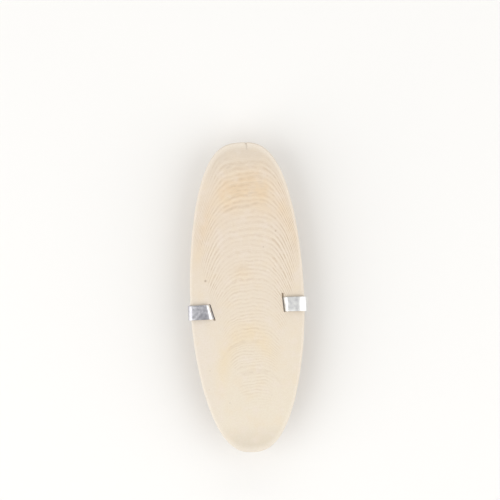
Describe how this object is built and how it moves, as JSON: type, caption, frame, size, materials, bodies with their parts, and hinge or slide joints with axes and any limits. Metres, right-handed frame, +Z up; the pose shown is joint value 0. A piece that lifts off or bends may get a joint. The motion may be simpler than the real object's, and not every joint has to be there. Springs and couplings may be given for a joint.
{
  "type": "cuttlebone with a cage clip",
  "caption": "Trimmed oval cuttlebone, flat on one side and domed on the other, gripped by a bent sheet-metal strip with hooks for a cage wire.",
  "frame": {"origin": "on the surface that the clip's two hooks stand on, under the middle of the bone's length and width", "axes": "+Y along the bone to its blunter head end, +X to the right as the flat belly is looked at, +Z up out of the belly"},
  "size_m": [0.0638, 0.166, 0.024],
  "materials": {
    "bone": "matte",
    "clip_sheet": "satin"
  },
  "bodies": {
    "root": {"bone": "bone", "cage_clip": "clip_sheet"}
  },
  "joints": []
}
